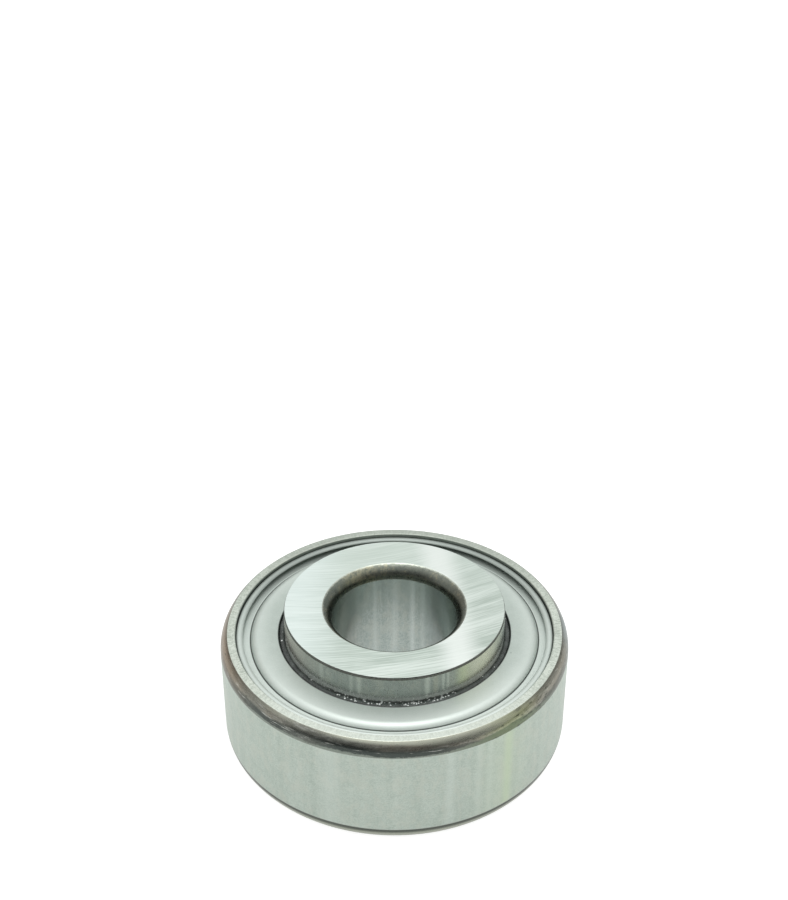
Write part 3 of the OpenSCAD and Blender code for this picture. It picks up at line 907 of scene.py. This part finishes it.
def cap_section(up):
    """One strip of sheet: crown, dish, web and rolled rim; up is 1 at the top end, -1 at the bottom."""
    curl = (RIM_REACH - CURL_R, CURL_R)
    foot = (curl[0] - WEB_W, SHEET_T + FOOT_BEND)
    lean = math.radians(DISH_SLOPE)
    bend_fall = (FOOT_BEND + SHOULDER_BEND) * (1 - math.cos(lean))
    slope_len = (DISH_RISE - bend_fall) / math.sin(lean)
    crown = (foot[0] - (FOOT_BEND + SHOULDER_BEND) * math.sin(lean) - slope_len * math.cos(lean),
             SHEET_T + DISH_RISE - SHOULDER_BEND)
    inner = SHOULDER_R + CAP_GAP
    section = Section()
    base = LEDGE_Z if up > 0 else OUTER_W - LEDGE_Z

    def lay(points, soft=0.0):
        for r, y in points:
            section.to(r, base + up * y, "cap", soft)

    lay([(inner, SHEET_T + DISH_RISE)], 0.08)
    lay([(crown[0] - 0.4, SHEET_T + DISH_RISE)])
    lay(arc(crown, SHOULDER_BEND, 90, 90 - DISH_SLOPE))
    lay(arc(foot, FOOT_BEND, -90 - DISH_SLOPE, -90, 9))
    lay([(foot[0] + 0.1, SHEET_T), (curl[0] - 0.1, SHEET_T)])
    lay(arc(curl, CURL_R - SHEET_T, -90, 90 + CURL_BACK, 8))
    lay(arc(curl, CURL_R, 90 + CURL_BACK, -90, 6))
    lay(arc(foot, FOOT_BEND + SHEET_T, -90, -90 - DISH_SLOPE, 6))
    lay(arc(crown, SHOULDER_BEND - SHEET_T, 90 - DISH_SLOPE, 90))
    lay([(inner, DISH_RISE)], 0.04)
    return section


def stroke_map(x, y):
    """Map of the face grinder's strokes: arcs round the middle of the grinding wheel, in mm."""
    from_x, from_y = x - WHEEL_AT[0], y - WHEEL_AT[1]
    reach = math.hypot(from_x, from_y)
    return reach * math.atan2(from_x, -from_y), reach


outer_ring = turned("outer_ring_turned", outer_ring_section(), MATERIALS)
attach(outer_ring, "outer_race")
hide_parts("outer_ring")

inner_ring = turned("inner_ring_turned", inner_ring_section(), MATERIALS, {"end_face": stroke_map})
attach(inner_ring, "inner_race")
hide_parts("inner_ring")

for name, up in (("upper_cap", 1), ("lower_cap", -1)):
    cap = turned(name + "_pressed", cap_section(up), MATERIALS)
    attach(cap, "outer_race")
    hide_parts(name)


def grease_bead(name, low_z, up, seed):
    """Ragged wet bead of grease between a cap's inner edge and the inner ring."""
    random.seed(seed)
    steps, around = 720, 10
    middle = SHOULDER_R + CAP_GAP * 0.5
    verts, faces = [], []
    for k in range(steps):
        angle = 2 * math.pi * k / steps
        direction = (math.cos(angle), math.sin(angle))
        swell = noise.noise(Vector((direction[0] * 5, direction[1] * 5, seed)))
        ripple = noise.noise(Vector((direction[0] * 45, direction[1] * 45, seed + 7.0)))
        half_w = CAP_GAP * 0.47 + 0.04 * swell
        half_h = 0.21 + 0.08 * swell + 0.06 * ripple
        for j in range(around):
            t = 2 * math.pi * j / around
            lump = noise.noise(Vector((direction[0] * 110, direction[1] * 110, 9.0 * math.sin(t) + seed)))
            r = middle + half_w * math.cos(t) - 0.12 * math.sin(t) + 0.02 * lump
            z = low_z + up * (half_h * math.sin(t) * (1 + 0.35 * lump))
            verts.append((r * direction[0] * MM, r * direction[1] * MM, z * MM))
    for k in range(steps):
        n = (k + 1) % steps
        for j in range(around):
            m = (j + 1) % around
            quad = (k * around + j, n * around + j, n * around + m, k * around + m)
            faces.append(quad if up > 0 else quad[::-1])
    mesh = bpy.data.meshes.new(name)
    mesh.from_pydata(verts, [], faces)
    mesh.materials.append(MATERIALS["grease"])
    mesh.polygons.foreach_set("use_smooth", [True] * len(faces))
    bead = bpy.data.objects.new(name, mesh)
    bpy.context.scene.collection.objects.link(bead)
    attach(bead, "outer_race")
    return bead


grease_bead("upper_grease", LEDGE_Z + DISH_RISE + 0.1, 1, 3)

NODE_FINISH = {"upper_seal": seal_rubber(), "ball_cage": cage_plastic(), "ball": ball_steel()}
for node_name, piece in frame["nodes"].items():
    if "seal" in node_name:
        chosen = NODE_FINISH["upper_seal"]
    elif node_name == "ball_cage":
        chosen = NODE_FINISH["ball_cage"]
    elif node_name.startswith("ball_"):
        chosen = NODE_FINISH["ball"]
    elif "cap" in node_name:
        chosen = MATERIALS["cap"]
    else:
        chosen = MATERIALS["recess"]
    for material_slot in piece.material_slots:
        material_slot.material = chosen


# Floor, light and camera
def pale_floor():
    """Plain pale floor: white to the camera and in the metal, with the soft shadow kept, and clear
    from underneath."""
    mesh = bpy.data.meshes.new("floor")
    half = 3.0
    mesh.from_pydata([(-half, -half, 0), (half, -half, 0), (half, half, 0), (-half, half, 0)], [], [(0, 1, 2, 3)])
    floor = bpy.data.objects.new("floor", mesh)
    bpy.context.scene.collection.objects.link(floor)
    material = bpy.data.materials.new("pale_floor")
    material.use_nodes = True
    material.node_tree.nodes.clear()
    s = Sheet(material.node_tree)
    matt = s.node("ShaderNodeBsdfDiffuse")
    matt.inputs["Color"].default_value = (0.45, 0.45, 0.45, 1)
    lift = s.node("ShaderNodeEmission")
    path = s.node("ShaderNodeLightPath").outputs
    in_metal = s.math("MAXIMUM", path["Is Glossy Ray"], path["Is Transmission Ray"])
    s.feed(lift.inputs["Strength"], s.add(s.times(path["Is Camera Ray"], 0.86), s.times(in_metal, 0.62)))
    both = s.node("ShaderNodeAddShader")
    s.tree.links.new(matt.outputs[0], both.inputs[0])
    s.tree.links.new(lift.outputs[0], both.inputs[1])
    sides = s.node("ShaderNodeMixShader")
    s.feed(sides.inputs[0], s.node("ShaderNodeNewGeometry").outputs["Backfacing"])
    s.tree.links.new(both.outputs[0], sides.inputs[1])
    s.tree.links.new(s.node("ShaderNodeBsdfTransparent").outputs[0], sides.inputs[2])
    out = s.node("ShaderNodeOutputMaterial")
    s.tree.links.new(sides.outputs[0], out.inputs["Surface"])
    mesh.materials.append(material)
    return floor


def studio_world():
    """Soft studio light: bright overhead, greyer low down, and unlit at the front where the room is."""
    world = bpy.data.worlds.new("studio")
    bpy.context.scene.world = world
    world.use_nodes = True
    world.node_tree.nodes.clear()
    s = Sheet(world.node_tree)
    coords = s.node("ShaderNodeTexCoord")
    x, y, z = s.split(coords.outputs["Generated"])
    flat = s.math("MAXIMUM", s.math("SQRT", s.add(s.times(x, x), s.times(y, y))), 0.001)
    front = s.times(s.math("DIVIDE", y, flat), -1.0)
    degrees = s.times(s.math("ARCTAN2", x, s.times(y, -1.0)), 180 / math.pi)
    height = s.times(s.math("ARCSINE", z), 180 / math.pi)
    lit = s.ease(height, 14.0, 60.0, 0.56, 1.16)
    unlit = s.ease(height, 10.0, 66.0, 0.07, 1.0)
    facing = s.ease(front, 0.15, 0.75)
    level = s.add(s.times(lit, s.less(1.0, facing)), s.times(unlit, facing))
    colour = (0.985, 1.0, 0.99)
    low = s.ease(height, 50.0, 20.0)
    for at, width, strength, tint in ((-128.0, 30.0, 0.6, (0.80, 0.66, 0.58)), (82.0, 26.0, 0.7, (0.78, 0.80, 0.58))):
        mask = s.group(STRIPE, Degrees=degrees, At=at, Width=width)["Mask"]
        colour = s.mix(s.times(s.times(mask, low), strength), colour, tint)
    seen = s.node("ShaderNodeLightPath").outputs["Is Camera Ray"]
    shade = s.node("ShaderNodeBackground")
    s.feed(shade.inputs["Color"], s.mix(seen, colour, (1.0, 1.0, 1.0)))
    s.feed(shade.inputs["Strength"], s.add(s.times(level, s.less(1.0, seen)), seen))
    out = s.node("ShaderNodeOutputWorld")
    s.tree.links.new(shade.outputs[0], out.inputs["Surface"])


def softbox(name, at, aim, size, power):
    data = bpy.data.lights.new(name, "AREA")
    data.shape = "DISK"
    data.size = size
    data.energy = power
    light = bpy.data.objects.new(name, data)
    light.location = at
    light.rotation_euler = (Vector(aim) - Vector(at)).to_track_quat("-Z", "Y").to_euler()
    bpy.context.scene.collection.objects.link(light)


def photo_camera():
    data = bpy.data.cameras.new("camera")
    data.sensor_width = 36.0
    data.sensor_fit = "AUTO"
    data.lens = 1438.78 * 36.0 / 900
    data.clip_start = 0.01
    camera = bpy.data.objects.new("camera", data)
    camera.location = (-0.00006, -0.1472224, 0.1329477)
    camera.rotation_euler = (math.radians(58.353), 0, 0)
    bpy.context.scene.collection.objects.link(camera)
    bpy.context.scene.camera = camera


pale_floor()
studio_world()
softbox("overhead", (0.0, -0.01, 0.45), (0, 0, 0.01), 0.32, 0.39)
photo_camera()
bpy.context.scene.view_settings.view_transform = "Standard"
